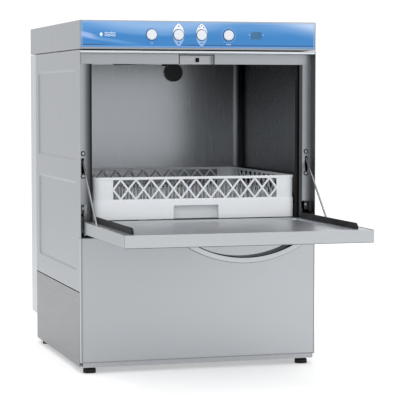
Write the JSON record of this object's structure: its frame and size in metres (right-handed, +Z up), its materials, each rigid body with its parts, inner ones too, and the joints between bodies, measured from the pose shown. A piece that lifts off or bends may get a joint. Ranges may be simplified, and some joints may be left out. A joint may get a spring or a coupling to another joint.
{
  "type": "commercial dishwasher",
  "caption": "Undercounter commercial dishwasher with a drop-down door on wire stays, sliding square rack, spinning spray arms and a push-button fascia.",
  "frame": {"origin": "on the floor, at the middle of the space that the machine takes up with its door open", "axes": "+Z up, +Y towards the back of the machine, +X to the right seen from the front"},
  "size_m": [0.575, 0.999, 0.82],
  "materials": {
    "casing_steel": "satin brushed stainless sheet",
    "chamber_steel": "satin stainless sheet",
    "steel": "satin",
    "screw_steel": "bright drawn",
    "blue_fascia": "printed overlay, semi-gloss",
    "display_glass": "smoked window, gloss",
    "circuit_board": "solder-masked board",
    "black_plastic": "moulded, matte",
    "grey_plastic": "moulded, matte",
    "spray_plastic": "moulded, satin",
    "white_plastic": "moulded polypropylene",
    "button_plastic": "moulded, gloss",
    "black_rubber": "matte",
    "motor_paint": "powder coat"
  },
  "bodies": {
    "cabinet": {"base_frame": "steel", "levelling_feet": "black_rubber", "side_panel_left": "casing_steel", "side_panel_right": "casing_steel", "lower_side_panel_left": "casing_steel", "lower_side_panel_right": "casing_steel", "rear_cover": "casing_steel", "top_cover": "casing_steel", "control_fascia": "blue_fascia", "display_window": "display_glass", "control_board": "circuit_board", "button_bezels": "black_plastic", "button_switches": "black_plastic", "lower_front_panel": "casing_steel", "top_rail": "casing_steel", "door_latch": "steel", "latch_catch": "black_plastic", "jamb_left": "casing_steel", "jamb_right": "casing_steel", "jamb_screws": "screw_steel", "door_seals": "black_rubber", "wash_chamber": "chamber_steel", "vent_cap": "black_plastic", "rack_rails": "chamber_steel", "wash_tank": "chamber_steel", "surface_filters": "chamber_steel", "sump_strainer": "steel", "overflow_pipe": "grey_plastic", "tank_heater": "screw_steel", "pump_volute": "black_plastic", "pump_motor": "motor_paint", "suction_pipe": "black_rubber", "wash_riser": "grey_plastic", "rinse_pipe": "screw_steel", "boiler": "steel", "inlet_valve": "grey_plastic", "drain_connector": "grey_plastic", "cable_gland": "black_plastic", "rinse_aid_dispenser": "grey_plastic", "lower_spindle": "steel", "upper_spindle": "steel", "arm_caps": "black_plastic", "hinge_brackets": "steel", "door_springs": "screw_steel"},
    "door": {"door_outer_skin": "casing_steel", "door_inner_panel": "chamber_steel", "door_handle": "casing_steel", "door_guides": "black_plastic", "hinge_pins": "screw_steel"},
    "stays": {"stay_rods": "screw_steel"},
    "rack": {"rack": "white_plastic"},
    "impeller": {"pump_impeller": "grey_plastic"},
    "lower_wash_spinner": {"lower_wash_arm": "spray_plastic"},
    "lower_rinse_spinner": {"lower_rinse_arm": "steel"},
    "upper_wash_spinner": {"upper_wash_arm": "spray_plastic"},
    "upper_rinse_spinner": {"upper_rinse_arm": "steel"},
    "power_key": {"power_button": "button_plastic"},
    "short_cycle_key": {"short_cycle_button": "button_plastic"},
    "long_cycle_key": {"long_cycle_button": "button_plastic"},
    "start_key": {"start_button": "button_plastic"}
  },
  "joints": [
    {"name": "door_hinge", "type": "hinge", "parent": "cabinet", "child": "door", "pos_m": [0, -0.0975, 0.334], "axis": [-1, 0, 0], "range_deg": [0, 90], "deforming": ["door_springs"]},
    {"name": "stay_hinge", "type": "hinge", "parent": "door", "child": "stays", "pos_m": [0, -0.23, 0.345], "axis": [-1, 0, 0], "range_deg": [-58, 0]},
    {"name": "rack_slide", "type": "slide", "parent": "cabinet", "child": "rack", "axis": [0, 1, 0], "range_m": [-0.335, 0]},
    {"name": "impeller_spin", "type": "hinge", "parent": "cabinet", "child": "impeller", "pos_m": [0.11, 0.1945, 0.092], "axis": [0, 1, 0], "continuous": true},
    {"name": "lower_wash_spin", "type": "hinge", "parent": "cabinet", "child": "lower_wash_spinner", "pos_m": [0, 0.1775, 0.3326], "axis": [0, 0, 1], "continuous": true},
    {"name": "lower_rinse_spin", "type": "hinge", "parent": "cabinet", "child": "lower_rinse_spinner", "pos_m": [0, 0.1775, 0.3446], "axis": [0, 0, 1], "continuous": true},
    {"name": "upper_wash_spin", "type": "hinge", "parent": "cabinet", "child": "upper_wash_spinner", "pos_m": [0, 0.1775, 0.7394], "axis": [0, 0, 1], "continuous": true},
    {"name": "upper_rinse_spin", "type": "hinge", "parent": "cabinet", "child": "upper_rinse_spinner", "pos_m": [0, 0.1775, 0.729], "axis": [0, 0, 1], "continuous": true},
    {"name": "power_press", "type": "slide", "parent": "cabinet", "child": "power_key", "axis": [0, 1, 0], "range_m": [0, 0.003], "stiffness_N_per_m": 500, "springref_m": -0.002},
    {"name": "short_cycle_press", "type": "slide", "parent": "cabinet", "child": "short_cycle_key", "axis": [0, 1, 0], "range_m": [0, 0.003], "stiffness_N_per_m": 500, "springref_m": -0.002},
    {"name": "long_cycle_press", "type": "slide", "parent": "cabinet", "child": "long_cycle_key", "axis": [0, 1, 0], "range_m": [0, 0.003], "stiffness_N_per_m": 500, "springref_m": -0.002},
    {"name": "start_press", "type": "slide", "parent": "cabinet", "child": "start_key", "axis": [0, 1, 0], "range_m": [0, 0.003], "stiffness_N_per_m": 500, "springref_m": -0.002}
  ],
  "couplings": [
    {"joint": "stay_hinge", "follows": "door_hinge", "ratio": -0.638}
  ]
}
